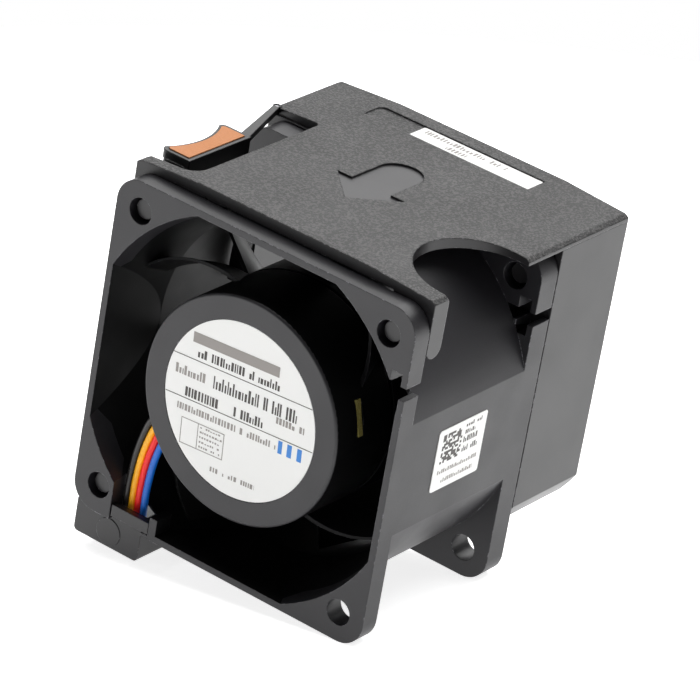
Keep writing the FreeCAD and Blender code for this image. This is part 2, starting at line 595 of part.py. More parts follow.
def make_impeller():
    body = new_body("impeller")
    front = "(hub_depth + rotor_gap)"
    plug = new_sketch(body, "rotor_hub_profile", "XY_Plane")
    outline(plug, [("0", front), ("hub_radius", front), ("hub_radius", "rotor_end - rotor_edge"),
                   ("hub_radius - rotor_edge", "rotor_end"), ("0", "rotor_end")], {2: ("rotor_edge", 1)})
    revolve(body, "Revolution", plug)
    root = "(hub_radius - blade_sink)"
    sections = []
    for number, share in enumerate((0.0, 0.5, 1.0)):
        radius = "%s + (%s - %s) * %s" % (root, TUNNEL, root, share)
        reach = "(blade_root_reach + (blade_tip_reach - blade_root_reach) * %s)" % share
        thick = "(1 - (1 - blade_thin) * %s)" % share
        sections.append(blade_section(body, "blade_section_%d" % number, radius, reach, thick))
    blade = feature(body, "AdditiveLoft", sections[0], Sections=sections[1:])
    around_axis(body, blade, "blade_count")
    trim = new_sketch(body, "blade_tip_trim", "XY_Plane")
    tip = TUNNEL + " - tip_gap"
    outline(trim, [(tip, "blade_front - 6"), ("flange_side", "blade_front - 6"),
                   ("flange_side", "blade_rear + 6"), (tip, "blade_rear + 6")])
    revolve(body, "Groove", trim)
    hollow = new_sketch(body, "rotor_hollow", "XY_Plane")
    inner = "hub_radius - rotor_wall"
    floor = "(rotor_end - rotor_cap)"
    outline(hollow, [
        ("shaft_radius + fit", front + " - 6"), (inner, front + " - 6"), (inner, floor),
        ("shaft_radius + rotor_boss", floor), ("shaft_radius + rotor_boss", "tube_end + washer_room"),
        ("shaft_radius + fit", "tube_end + washer_room")])
    revolve(body, "Groove", hollow)
    bore = new_sketch(body, "shaft_bore", "XY_Plane")
    outline(bore, [("0", front + " - 1"), ("shaft_radius + fit", front + " - 1"),
                   ("shaft_radius + fit", "rotor_end - shaft_cover"), ("0", "rotor_end - shaft_cover")])
    revolve(body, "Groove", bore)
    body.Tip = body.Group[-1]
    node(body, "impeller")


# ------------------------------------------------------------------ motor
def make_rotor_core():
    inner = "(hub_radius - rotor_wall)"
    floor = "(rotor_end - rotor_cap)"
    start = "(hub_depth + rotor_gap + yoke_inset)"
    yoke = new_body("yoke")
    cup = new_sketch(yoke, "yoke_profile", "XY_Plane")
    boss = "shaft_radius + rotor_boss + yoke_clear"
    outline(cup, [
        (inner + " - fit - yoke_wall", start), (inner + " - fit", start), (inner + " - fit", floor),
        (boss, floor), (boss, floor + " - yoke_wall"),
        (inner + " - fit - yoke_wall", floor + " - yoke_wall")])
    revolve(yoke, "Revolution", cup)
    node(yoke, "yoke")
    outer = inner + " - fit * 2 - yoke_wall"
    node(ring("magnet_ring", "y", outer, outer + " - magnet_thick", start + " + magnet_inset",
              "core_start + core_length + magnet_over"), "magnet_ring")
    node(rod("rotor_shaft", "y", "shaft_radius", "tube_start + shaft_inset", "rotor_end - shaft_cover"),
         "rotor_shaft")


def make_bearings():
    tube = new_body("bearing_tube")
    profile = new_sketch(tube, "bearing_tube_profile", "XY_Plane")
    seat = "bearing_radius + fit"
    stop = "bearing_radius - race_wall"
    snap = "tube_start + snap_ring_depth"
    front = "(%s + snap_ring_thick + snap_ring_clear + bearing_width)" % snap
    rear = "(tube_end - bearing_sink - bearing_width)"
    outline(profile, [
        (seat, "tube_start"), ("tube_radius", "tube_start"), ("tube_radius", "tube_end"), (seat, "tube_end"),
        (seat, rear), (stop, rear), (stop, front), (seat, front)])
    revolve(tube, "Revolution", profile)
    node(tube, "bearing_tube")
    outer_rings = []
    inner_rings = []
    for name, start in (("front", front + " - bearing_width"), ("rear", rear)):
        end = start + " + bearing_width"
        outer_rings.append(ring(name + "_outer_ring", "y", "bearing_radius", "bearing_radius - race_wall",
                                start, end))
        inner_rings.append(ring(name + "_inner_ring", "y", "shaft_radius + fit + race_wall",
                                "shaft_radius + fit", start + " + race_offset", end + " - race_offset"))
    node(fuse("bearing_outer_rings", outer_rings), "bearing_outer_rings")
    node(fuse("bearing_inner_rings", inner_rings), "bearing_inner_rings")
    node(ring("retaining_ring", "y", "shaft_radius + snap_ring_wall", "shaft_radius + fit", snap,
              snap + " + snap_ring_thick"), "retaining_ring")
    node(ring("preload_washer", "y", "shaft_radius + washer_wall", "shaft_radius + fit",
              "tube_end - bearing_sink + shim", "tube_end + washer_room - shim"), "preload_washer")


def make_stator():
    core_radius = "(hub_radius - rotor_wall - fit * 2 - yoke_wall - magnet_thick - air_gap)"
    end = "(core_start + core_length)"

    def star(name, start, stop, teeth, rim, bore):
        hub = rod(name + "_hub", "y", "tube_radius + core_wall", start, stop)
        arms = []
        for turn in (0, 90, 180, 270):
            reach = ("tube_radius + core_wall / 2", core_radius + " - pole_rim / 2")
            arm = turned_box("%s_arm_%d" % (name, turn), reach, teeth, (start, stop), str(turn))
            wide = turned_box("%s_wide_%d" % (name, turn), ("tube_radius + core_wall", core_radius + " + 2"),
                              "pole_wide", (start, stop), str(turn))
            shoe_ring = ring("%s_rim_%d" % (name, turn), "y", core_radius, "%s - (%s)" % (core_radius, rim),
                             start, stop)
            arms += [arm, common("%s_shoe_%d" % (name, turn), [wide, shoe_ring])]
        body = fuse(name + "_star", [hub] + arms)
        return cut(name, body, [rod(name + "_bore", "y", bore, "(%s) - 1" % start, "(%s) + 1" % stop)])

    bore = "tube_radius + fit"
    node(star("stator_core", "core_start", end, "tooth_width", "pole_rim", bore), "stator_core")
    teeth = "tooth_width + insulator_over"
    caps = [star("front_insulator", "core_start - insulator_thick", "core_start", teeth, "insulator_rim",
                 bore),
            star("rear_insulator", end, end + " + insulator_thick", teeth, "insulator_rim", bore)]
    node(fuse("coil_insulators", caps), "coil_insulators")
    coils = []
    for turn in (0, 90, 180, 270):
        reach = ("tube_radius + core_wall + coil_clear", core_radius + " - pole_rim - coil_short")
        name = "coil_%d" % turn
        rise = "insulator_thick + coil_end"
        wound = turned_box(name + "_wound", reach, "tooth_width + coil_wide",
                           ("core_start - (%s)" % rise, "%s + %s" % (end, rise)), str(turn))
        tooth = turned_box(name + "_tooth", (reach[0] + " - 1", reach[1] + " + 1"),
                           "tooth_width + coil_clear",
                           ("core_start - insulator_thick - shim", end + " + insulator_thick + shim"),
                           str(turn))
        coils.append(cut(name, wound, [tooth]))
    node(fuse("coil_windings", coils), "coil_windings")


def make_board():
    inner = "(hub_radius - hub_wall)"
    top = "(board_level + board_thick)"
    disc = rod("board_disc", "y", inner + " - window_clear", "board_level", top)
    tab = turned_box("board_tab", ("hub_radius - 4", "hub_radius - 0.05"), "board_window - window_clear",
                     ("board_level", top), "window_angle")
    middle = rod("board_middle", "y", "tube_radius + 0.6", "board_level - 1", top + " + 1")
    node(cut("circuit_board", fuse("board_blank", [disc, tab]), [middle]), "circuit_board")
    cans = [rod("capacitor_%d" % turn, "y", "capacitor_radius", top, top + " + capacitor_high",
                "capacitor_circle * cos(%d)" % turn, "capacitor_circle * sin(%d)" % turn)
            for turn in CAPACITOR_TURNS]
    node(fuse("capacitors", cans), "capacitors")
    chips = [turned_box("driver_chip_%d" % turn, ("chip_start", "chip_end"), "chip_wide",
                        (top, top + " + chip_high"), str(turn)) for turn in CHIP_TURNS]
    node(fuse("driver_chips", chips), "driver_chips")
    block = turned_box("lead_block_body", ("lead_start - block_long", "lead_start"),
                       "lead_pitch * 4 + block_rim * 2",
                       ("lead_level - lead_radius - block_rim", "board_level"), "lead_angle")
    node(block, "lead_block")


# ------------------------------------------------------------------ leads
def make_lead(name, number):
    """One lead from the board's block, through the notch, into the connector."""
    shift = number * amount("lead_pitch")
    turn = math.radians(amount("lead_angle"))
    out = Vector(math.cos(turn), 0, math.sin(turn))
    side = Vector(-math.sin(turn), 0, math.cos(turn))
    level = Vector(0, amount("lead_level"), 0)
    start = out * amount("lead_start + entry_clear") + side * (shift - 1.5 * amount("lead_pitch")) + level
    route = [start]
    for x, x_step, z, z_step in LEAD_ROUTE:
        route.append(Vector(x + x_step * shift, 0, z + z_step * shift) + level)
    route.append(Vector(LEAD_END + shift, 0, -amount(UNDER + " + lead_sink")) + level)
    edges = []
    last = route[0]
    radii = []
    for before, corner, after in zip(route, route[1:], route[2:]):
        incoming = (corner - before).normalize()
        outgoing = (after - corner).normalize()
        bend = incoming.getAngle(outgoing)
        shorter = min((corner - before).Length, (after - corner).Length)
        back = amount("lead_bend") * shorter
        radius = back / math.tan(bend / 2)
        radii.append(round(radius, 1))
        first = corner - incoming * back
        second = corner + outgoing * back
        inward = (outgoing - incoming).normalize()
        middle = corner + inward * (radius / math.cos(bend / 2) - radius)
        edges.append(Part.LineSegment(last, first).toShape())
        edges.append(Part.Arc(first, middle, second).toShape())
        last = second
    edges.append(Part.LineSegment(last, route[-1]).toShape())
    path = Part.Wire(edges)
    radius = amount("lead_radius")
    profile = Part.Wire(Part.makeCircle(radius, route[0], route[1] - route[0]))
    shape = path.makePipeShell([profile], True, True)
    expected = math.pi * radius ** 2 * path.Length
    print(name, "radii", radii, "volume share", round(shape.Volume / expected, 4))
    thing = doc.addObject("Part::Feature", name)
    thing.Shape = shape
    thing.Placement = FreeCAD.Placement()
    node(thing, name)


def make_lead_clip():
    level = ("-%s + clip_level" % HALF, "-%s + clip_level + clip_height" % HALF)
    right = "-lead_notch_right - clip_right"
    bar = box("clip_bar", ("-lead_notch_left + clip_left", right), ("clip_inset", "clip_inset + clip_thick"),
              level)
    leg = box("clip_leg_box", (right + " - clip_leg", right), ("clip_inset", "front_flange - clip_inset"),
              level)
    node(fuse("lead_clip", [bar, leg]), "lead_clip")


# ------------------------------------------------------------------ carrier
def fixing_ear(name, x, z, reach):
    """An ear behind the outlet flange, with a pin into the flange's hole."""
    start = "(front_flange + seat_gap)"
    low, high = reach
    across = sorted(("%d * %s" % (x, HALF), "%d * %s" % (x, EAR_END)), key=amount)
    up = sorted(("%d * (%s)" % (z, low), "%d * (%s)" % (z, high)), key=amount)
    plate = box(name + "_plate", across, (start, start + " + ear_thick"), up)
    clear = rod(name + "_clear", "y", BARREL + " + ear_clear", start + " - 1", start + " + ear_thick + 1")
    pin = rod(name + "_pin", "y", "pin_radius", "pin_recess", start + " + 0.1",
              "%d * %s" % (x, PITCH), "%d * %s" % (z, PITCH))
    return fuse(name, [cut(name + "_web", plate, [clear]), pin])


def make_cover():
    body = new_body("cover_plate")
    section = new_sketch(body, "cover_section", "XZ_Plane", "-(front_flange + seat_gap)")
    edge = UNDER + " + cover_edge"
    outline(section, [
        ("-" + HALF, UNDER), (HALF, UNDER), (HALF, edge + " - cover_bevel"),
        (HALF + " - cover_bevel_wide", edge),
        ("crown_half", edge + " + cover_crown"), ("-crown_half", edge + " + cover_crown"),
        ("-%s + cover_bevel_wide" % HALF, edge), ("-" + HALF, edge + " - cover_bevel")])
    feature(body, "Pad", section, Length="module_depth - front_flange - seat_gap", Reversed=True)
    plan = new_sketch(body, "cover_notches", "XY_Plane", UNDER + " - 1")
    near = "(%s - grip_notch_inset)" % HALF
    outline(plan, [
        (HALF + " + 1", "grip_notch_centre - grip_notch_radius"),
        (HALF + " + 1", "grip_notch_centre + grip_notch_radius"),
        (near, "grip_notch_centre + grip_notch_radius"),
        (near + " - grip_notch_radius", "grip_notch_centre"),
        (near, "grip_notch_centre - grip_notch_radius")],
        {2: ("grip_notch_radius", 1), 3: ("grip_notch_radius", 1)})
    inner = "-(lever_outer - lever_wide - latch_room)"
    outline(plan, [
        ("-%s - 1" % HALF, "latch_notch_front"), (inner + " - notch_round", "latch_notch_front"),
        (inner, "latch_notch_front + notch_round"), (inner, "latch_notch_rear - notch_rear_round"),
        (inner + " - notch_rear_round", "latch_notch_rear"), ("-%s - 1" % HALF, "latch_notch_rear")],
        {1: ("notch_round", 1), 3: ("notch_rear_round", 1)})
    feature(body, "Pocket", plan, Length="cover_edge + cover_crown + 4", Reversed=True)
    plate = new_sketch(body, "plate_recess_plan", "XY_Plane", PLATE_LEVEL)
    outline(plate, [
        ("-plate_left", PLATE_FRONT), ("plate_right", PLATE_FRONT),
        ("plate_right", PLATE_FRONT + " + plate_width"),
        ("-plate_left + plate_round", PLATE_FRONT + " + plate_width"),
        ("-plate_left", PLATE_FRONT + " + plate_width - plate_round")],
        {3: ("plate_round", 1)})
    feature(body, "Pocket", plate, Length="plate_recess + 1", Reversed=True)

    start = "(front_flange + seat_gap)"
    pieces = [body]
    for x, side in ((1, "right"), (-1, "left")):
        across = sorted(("%d * %s" % (x, HALF), "%d * (%s - leg_thick)" % (x, HALF)), key=amount)
        pieces.append(box("leg_" + side, across, (start, start + " + leg_wide"),
                          ("leg_end + leg_wide / 2", UNDER + " + ear_root")))
        pieces.append(rod("leg_end_" + side, "x", "leg_wide / 2", across[0], across[1],
                          start + " + leg_wide / 2", "leg_end + leg_wide / 2"))
        pieces.append(fixing_ear("cover_ear_" + side, x, 1,
                                 (EAR_END, UNDER + " + ear_root")))
    pivot = rod("pivot_seat", "z", "pivot_boss + pivot_room", UNDER + " - 1", UNDER + " + 4",
                "-%s + pivot_inset" % HALF, "pivot_level")
    node(cut("top_cover", fuse("cover_whole", pieces), [pivot]), "top_cover")


def make_shroud():
    body = new_body("shroud_profile")
    start = "(fan_depth + shroud_gap)"
    section = new_sketch(body, "shroud_section", "XZ_Plane", "-" + start)
    inner = "(%s - shroud_wall)" % HALF
    inner_radius = "(shroud_radius - shroud_wall)"
    turn_out = "(-sqrt(shroud_radius ^ 2 - (%s) ^ 2))" % HALF
    turn_in = "(-sqrt(%s ^ 2 - %s ^ 2))" % (inner_radius, inner)
    end_x = "(%s * cos(shroud_curl) + %s * sin(shroud_curl))" % (HALF, turn_out)
    end_z = "(%s * cos(shroud_curl) - %s * sin(shroud_curl))" % (turn_out, HALF)
    share = " * %s / shroud_radius" % inner_radius
    right = [
        (HALF, UNDER), (HALF, turn_out), (end_x, end_z),
        (end_x + share, end_z + share), (inner, turn_in), (inner, UNDER + " - shroud_wall")]
    left = [("-(%s)" % x, z) for x, z in reversed(right)]
    outline(section, right + left, {1: ("shroud_radius", -1), 3: (inner_radius, 1),
                                    7: (inner_radius, 1), 9: ("shroud_radius", -1)})
    feature(body, "Pad", section, Length="module_depth - " + start, Reversed=True)
    wall = box("shroud_bulkhead", ("-" + HALF, HALF), (start, start + " + bulkhead"), ("bulkhead_low", UNDER))
    opening = rod("shroud_bulkhead_hole", "y", TUNNEL + " + bulkhead_clear", start + " - 1",
                  start + " + bulkhead + 1")
    pieces = [body, cut("shroud_front", wall, [opening])]
    for x, side in ((1, "right"), (-1, "left")):
        pieces.append(rod("shroud_peg_" + side, "y", "pin_radius", start + " - peg_length", start + " + 0.1",
                          "%d * %s" % (x, PITCH), PITCH))
    seat = rod("pivot_hole", "z", "pivot_radius + fit", UNDER + " - pivot_sink - 0.2", UNDER + " + 1",
               "-%s + pivot_inset" % HALF, "pivot_level")
    node(cut("inlet_shroud", fuse("shroud_whole", pieces), [seat]), "inlet_shroud")


def make_connector():
    top = "(-%s)" % UNDER
    bottom = "(%s - plug_height)" % top
    rear = "(plug_front + plug_depth)"
    body = new_body("connector_block")
    face = new_sketch(body, "connector_face", "XZ_Plane", "-plug_front")
    outline(face, [
        ("-plug_left", bottom + " + plug_round"), ("-plug_left + plug_round", bottom),
        ("-plug_right - plug_round", bottom), ("-plug_right", bottom + " + plug_round"),
        ("-plug_right", top), ("-plug_left", top)],
        {0: ("plug_round", 1), 2: ("plug_round", 1)})
    feature(body, "Pad", face, Length="plug_depth", Reversed=True)
    ear = fixing_ear("connector_ear", -1, -1, (EAR_END, UNDER + " + ear_root"))
    whole = fuse("connector_whole", [body, ear])
    cuts = [box("lead_entry", ("%s - lead_radius - entry_clear" % LEAD_END,
                               "%s + lead_pitch * 3 + lead_radius + entry_clear" % LEAD_END),
                ("lead_level - lead_radius - entry_clear", "lead_level + lead_radius + entry_clear"),
                (top + " - lead_sink - entry_clear", top + " + 1"))]
    contacts = []
    middle = "-(plug_left + plug_right) / 2"
    for number in range(4):
        x = "%s + contact_pitch * %s" % (middle, number - 1.5)
        y = "plug_front + plug_depth * contact_place"
        half = "contact_side / 2"
        cuts.append(box("cavity_%d" % number, ("%s - %s" % (x, half), "%s + %s" % (x, half)),
                        ("%s - %s" % (y, half), "%s + %s" % (y, half)),
                        (bottom + " - 1", bottom + " + contact_depth")))
        size = "(contact_side / 2 - contact_clear)"
        shell = box("contact_shell_%d" % number, ("%s - %s" % (x, size), "%s + %s" % (x, size)),
                    ("%s - %s" % (y, size), "%s + %s" % (y, size)),
                    (bottom + " + contact_inset", bottom + " + contact_depth"))
        hole = "(%s - contact_wall)" % size
        socket = box("contact_hole_%d" % number, ("%s - %s" % (x, hole), "%s + %s" % (x, hole)),
                     ("%s - %s" % (y, hole), "%s + %s" % (y, hole)),
                     (bottom, bottom + " + contact_depth - contact_root"))
        contacts.append(cut("contact_%d" % number, shell, [socket]))
    node(cut("connector_housing", whole, cuts), "connector_housing")
    node(fuse("connector_contacts", contacts), "connector_contacts")


def make_latch():
    low = "(%s + lever_clear)" % UNDER
    body = new_body("latch_lever")
    grip = new_sketch(body, "lever_grip_plan", "XY_Plane", low)
    rear = "(lever_front + lever_grip)"
    outline(grip, [
        (LEVER_INNER, "lever_front"), (LEVER_INNER, rear), ("-lever_outer + lever_round", rear),
        ("-lever_outer", rear + " - lever_round"), ("-lever_outer", "lever_front + lever_round"),
        ("-lever_outer + lever_round", "lever_front")],
        {2: ("lever_round", 1), 3: ("grip_hollow", -1), 4: ("lever_round", 1)})
    feature(body, "Pad", grip, Length="lever_thick")
    pivot_x = "(-%s + pivot_inset)" % HALF
    arm_start = rear + " - arm_wide"
    arm = new_sketch(body, "lever_arm_plan", "XY_Plane", low)
    outline(arm, [
        (LEVER_INNER + " - 0.1", arm_start), (pivot_x + " + pivot_boss * 0.8", "pivot_level"),
        (pivot_x + " - pivot_boss * 0.8", "pivot_level"), (LEVER_INNER + " - 1.5 * arm_wide", arm_start)])
    feature(body, "Pad", arm, Length="lever_thick - arm_thin")
    boss = new_sketch(body, "lever_boss_plan", "XY_Plane", low)
    circle(boss, "pivot_boss", pivot_x, "pivot_level")
    feature(body, "Pad", boss, Length="lever_thick - arm_thin")
    skirt = new_sketch(body, "lever_skirt_plan", "XY_Plane", low)
    outline(skirt, [
        (LEVER_INNER, "lever_front"), (LEVER_INNER, rear), (LEVER_INNER + " - skirt_thick", rear),
        (LEVER_INNER + " - skirt_thick", "lever_front")])
    feature(body, "Pad", skirt, Length="skirt_depth", Reversed=True)
    nose = new_sketch(body, "lever_catch_plan", "XY_Plane", low)
    outline(nose, [
        ("-lever_outer", "lever_front + lever_round"),
        ("-lever_outer + catch_wide", "lever_front + lever_round"),
        ("-lever_outer + catch_wide", "lever_front + lever_round + catch_long")])
    feature(body, "Pad", nose, Length="catch_deep", Reversed=True)
    seat = new_sketch(body, "lever_seat_plan", "XY_Plane", low + " + lever_thick - pad_depth")
    pad_outline(seat, "rim")
    feature(body, "Pocket", seat, Length="pad_depth + 1", Reversed=True)
    bore = new_sketch(body, "lever_bore_plan", "XY_Plane", low + " - 1")
    circle(bore, "pivot_radius + pivot_clear", pivot_x, "pivot_level")
    feature(body, "Pocket", bore, Length="lever_thick + 2", Reversed=True)
    node(body, "latch_lever")

    pad = new_body("grip_pad")
    plan = new_sketch(pad, "grip_pad_plan", "XY_Plane", low + " + lever_thick - pad_depth")
    pad_outline(plan, "rim + pad_clear")
    feature(pad, "Pad", plan, Length="pad_depth + pad_proud")
    node(pad, "grip_pad")
    node(rod("latch_pin", "z", "pivot_radius", UNDER + " - pivot_sink", low + " + lever_thick - pivot_cap",
             pivot_x, "pivot_level"), "latch_pin")


def pad_outline(sketch, inset):
    rear = "(lever_front + lever_grip - (%s))" % inset
    front = "(lever_front + (%s))" % inset
    outer = "(-lever_outer + (%s))" % inset
    outline(sketch, [
        (LEVER_INNER + " - (%s)" % inset, front), (LEVER_INNER + " - (%s)" % inset, rear),
        (outer + " + pad_round", rear), (outer, rear + " - pad_round"), (outer, front + " + pad_round"),
        (outer + " + pad_round", front)],
        {2: ("pad_round", 1), 3: ("grip_hollow", -1), 4: ("pad_round", 1)})


def make_labels():
    node(rod("hub_label", "y", "label_radius", "0", "label_thick"), "hub_label")
    node(box("side_label", (HALF, HALF + " + label_thick"),
             ("side_label_front", "side_label_front + side_label_long"),
             ("side_label_level - side_label_high / 2", "side_label_level + side_label_high / 2")),
         "side_label")
    node(box("cover_label", ("-strip_left", "plate_right - strip_clear"),
             (PLATE_FRONT + " + strip_clear", PLATE_FRONT + " + plate_width - strip_clear"),
             (PLATE_LEVEL, PLATE_LEVEL + " + label_thick")), "cover_label")


make_housing()
make_impeller()
make_rotor_core()
make_bearings()
make_stator()
make_board()
for number, colour in enumerate(("black", "yellow", "red", "blue")):
    make_lead("lead_" + colour, number)
make_lead_clip()
make_cover()
make_shroud()
make_connector()
make_latch()
make_labels()
doc.recompute()

# ------------------------------------------------------------------ results
faults = ["%s: %s" % (thing.Name, thing.State) for thing in doc.Objects
          if "Invalid" in thing.State or "Error" in thing.State]
for thing in NODES:
    if thing.Shape.isNull() or not thing.Shape.isValid() or not thing.Shape.Solids:
        faults.append(thing.Label + ": no valid solid")
if faults:
    raise RuntimeError("\n".join(faults))
for thing in NODES:
    thing.Shape.exportStep("parts/%s.step" % thing.Label)
    bounds = thing.Shape.BoundBox
    print("%-22s solids %d volume %9.2f  x %.2f %.2f  y %.2f %.2f  z %.2f %.2f" % (
        thing.Label, len(thing.Shape.Solids), thing.Shape.Volume, bounds.XMin, bounds.XMax,
        bounds.YMin, bounds.YMax, bounds.ZMin, bounds.ZMax))
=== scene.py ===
import bpy, bmesh
import math
import random
from mathutils import Matrix, Vector


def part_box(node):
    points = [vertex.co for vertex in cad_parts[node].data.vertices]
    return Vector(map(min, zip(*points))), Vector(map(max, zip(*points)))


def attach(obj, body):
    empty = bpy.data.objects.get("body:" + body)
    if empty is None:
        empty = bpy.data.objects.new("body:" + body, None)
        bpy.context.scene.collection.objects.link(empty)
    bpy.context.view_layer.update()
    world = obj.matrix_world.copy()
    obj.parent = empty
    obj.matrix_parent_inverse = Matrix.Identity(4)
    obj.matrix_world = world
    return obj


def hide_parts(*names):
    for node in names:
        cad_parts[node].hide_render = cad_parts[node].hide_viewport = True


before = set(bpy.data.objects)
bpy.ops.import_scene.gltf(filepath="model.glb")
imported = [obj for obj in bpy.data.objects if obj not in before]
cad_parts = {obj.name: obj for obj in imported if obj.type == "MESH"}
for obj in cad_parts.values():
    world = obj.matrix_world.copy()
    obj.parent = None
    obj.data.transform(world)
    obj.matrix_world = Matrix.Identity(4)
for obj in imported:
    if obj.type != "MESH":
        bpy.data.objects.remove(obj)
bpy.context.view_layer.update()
print("frame loaded:", len(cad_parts), "nodes")
mm = 0.001


def linear(code):  # sRGB hex to linear colour
    parts = [int(code[i:i + 2], 16) / 255 for i in (0, 2, 4)]
    return [p / 12.92 if p <= 0.04045 else ((p + 0.055) / 1.055) ** 2.4 for p in parts] + [1.0]


def addNode(owner, kind, settings=None, links=None):  # a node with its settings and what feeds it
    node = owner.node_tree.nodes.new("ShaderNode" + kind)
    for name, value in (settings or {}).items():
        if isinstance(name, int) or name in node.inputs:
            node.inputs[name].default_value = value
        else:
            setattr(node, name, value)
    for name, source in (links or {}).items():
        owner.node_tree.links.new(source, node.inputs[name])
    return node


def newMaterial(name):
    material = bpy.data.materials.new(name)
    material.use_nodes = True
    material.node_tree.nodes.clear()
    return material


# sizes in mm: grain is the width of the moulded or rolled texture and bump its strength, cloud the size of the slow
# changes in gloss, swing how far they go, edge the rounding and wear that show along an edge, wear its tone; gleam
# dims the shine, and cut narrows the grain to specks
finishes = {
    # glass-filled PBT, moulded in a fine spark-eroded tool: dark grey-violet, satin, pale nicks on its edges
    "glassFilledPbtMoulded": dict(tone="1b1a1d", fleck="222125", rough=0.42, swing=0.05, grain=0.16, bump=0.10,
                                  cloud=9.0, edge=0.22, wear="8d8c92"),
    # the same PBT inside the air way: a finer, matter texture, with its tone darkened and its shine dimmed as painted
    # shade for the inside of the duct
    "glassFilledPbtAirwayPaintedShade": dict(tone="0b0b0c", fleck="0f0f10", rough=0.5, swing=0.05, grain=0.16, bump=0.10,
                                 cloud=9.0, edge=0.15, wear="55555a", gleam=0.12),
    # the same PBT in a polished tool: near black, a little glossier
    "impellerPbtMoulded": dict(tone="080809", fleck="0b0b0c", rough=0.34, swing=0.04, grain=0.2, bump=0.03,
                               cloud=7.0, edge=0.15, wear="303033", gleam=0.1),
    # PC/ABS with a coarse eroded grain, drawn at the size that shows: speckled grey
    "grainedPcAbsMoulded": dict(tone="0a0a0a", fleck="444242", rough=0.5, swing=0.05, grain=0.42, bump=0.9,
                                cloud=14.0, edge=0.55, wear="7c7c7e", cut=(0.5, 0.56)),
    # PC/ABS from a smooth tool: even satin grey
    "smoothPcAbsMoulded": dict(tone="1c1b1d", fleck="222123", rough=0.36, swing=0.04, grain=0.2, bump=0.06,
                               cloud=12.0, edge=0.25, wear="8a898c"),
    # the same PC/ABS on the polished floor of the arrow: plain and paler
    "arrowPcAbsPolished": dict(tone="2b2a2c", fleck="302f31", rough=0.42, swing=0.03, grain=0.3, bump=0.03,
                               cloud=10.0),
    # acetal, moulded: black and slippery
    "blackAcetalMoulded": dict(tone="0a0a0b", fleck="101011", rough=0.33, swing=0.05, grain=0.25, bump=0.12,
                               cloud=8.0, edge=0.3, wear="4a4a4c"),
    # orange thermoplastic rubber, moulded onto the lever: soft and matt
    "orangeTpeMoulded": dict(tone="ba7642", fleck="c27e4a", rough=0.62, swing=0.05, grain=0.22, bump=0.2,
                             cloud=6.0, edge=0.2, wear="eab184"),
    # extruded PVC insulation: smooth and shiny, with faint waves along the wire
    "blackPvcExtruded": dict(tone="191614", fleck="221f1d", rough=0.3, swing=0.05, grain=0.5, bump=0.03, cloud=3.0),
    "yellowPvcExtruded": dict(tone="ffb000", fleck="ffba08", rough=0.42, swing=0.05, grain=0.5, bump=0.03, cloud=3.0),
    "redPvcExtruded": dict(tone="f20408", fleck="fa0c10", rough=0.42, swing=0.05, grain=0.5, bump=0.03, cloud=3.0),
    "bluePvcExtruded": dict(tone="0062c8", fleck="026cd2", rough=0.42, swing=0.05, grain=0.5, bump=0.03, cloud=3.0),
    # glass-epoxy laminate, routed edge: green mask over pale glass
    "glassEpoxyRouted": dict(tone="86793a", fleck="a1985c", rough=0.5, swing=0.05, grain=0.25, bump=0.2, cloud=4.0),
    # PET sleeve shrunk onto the electrolytic cans: dark blue and glossy
    "shrunkSleevePet": dict(tone="1d2430", fleck="262e3b", rough=0.3, swing=0.04, grain=0.6, bump=0.03, cloud=5.0),
    # epoxy moulding compound of the chips and the lead block: black and matt
    "epoxyMoulded": dict(tone="161616", fleck="1f1f1f", rough=0.6, swing=0.05, grain=0.12, bump=0.12, cloud=4.0),
    # polyamide of the coils' bobbins, moulded: ivory, half matt
    "polyamideMoulded": dict(tone="cfc8b4", fleck="d7d0bd", rough=0.5, swing=0.05, grain=0.3, bump=0.06, cloud=6.0),
    # sintered ferrite, ground: dull charcoal
    "ferriteSintered": dict(tone="26262a", fleck="303034", rough=0.55, swing=0.06, grain=0.1, bump=0.1, cloud=3.0),
    # ground bearing and shaft steel: bright and even
    "bearingSteelGround": dict(tone="b9babd", fleck="c6c7ca", rough=0.22, swing=0.06, grain=0.08, bump=0.05,
                               cloud=2.0, metal=1.0),
    # deep-drawn steel with bright zinc: pale grey, half bright
    "zincedSteelDrawn": dict(tone="a4a6aa", fleck="b4b6ba", rough=0.34, swing=0.08, grain=0.15, bump=0.06,
                             cloud=3.0, metal=1.0),
    # stamped silicon-steel sheets: darker grey, rough where the sheets meet
    "siliconSteelStamped": dict(tone="6e7074", fleck="80827f", rough=0.45, swing=0.08, grain=0.5, bump=0.25,
                                cloud=2.0, metal=1.0),
    # turned brass: warm yellow and bright
    "brassTurned": dict(tone="c3a257", fleck="ccac64", rough=0.26, swing=0.06, grain=0.1, bump=0.05,
                        cloud=3.0, metal=1.0),
    # enamelled copper wire, wound: red-brown, with a grain that stands for the turns
    "copperWound": dict(tone="a85a32", fleck="c4713f", rough=0.35, swing=0.08, grain=0.3, bump=0.5,
                        cloud=2.0, metal=1.0),
}


# the wear along edges: size of the nicks in mm, how far the edge's normal has turned, and how much of it is nicked
edgeWear = dict(size=0.9, turned=(0.985, 0.85), nicks=(0.53, 0.63))


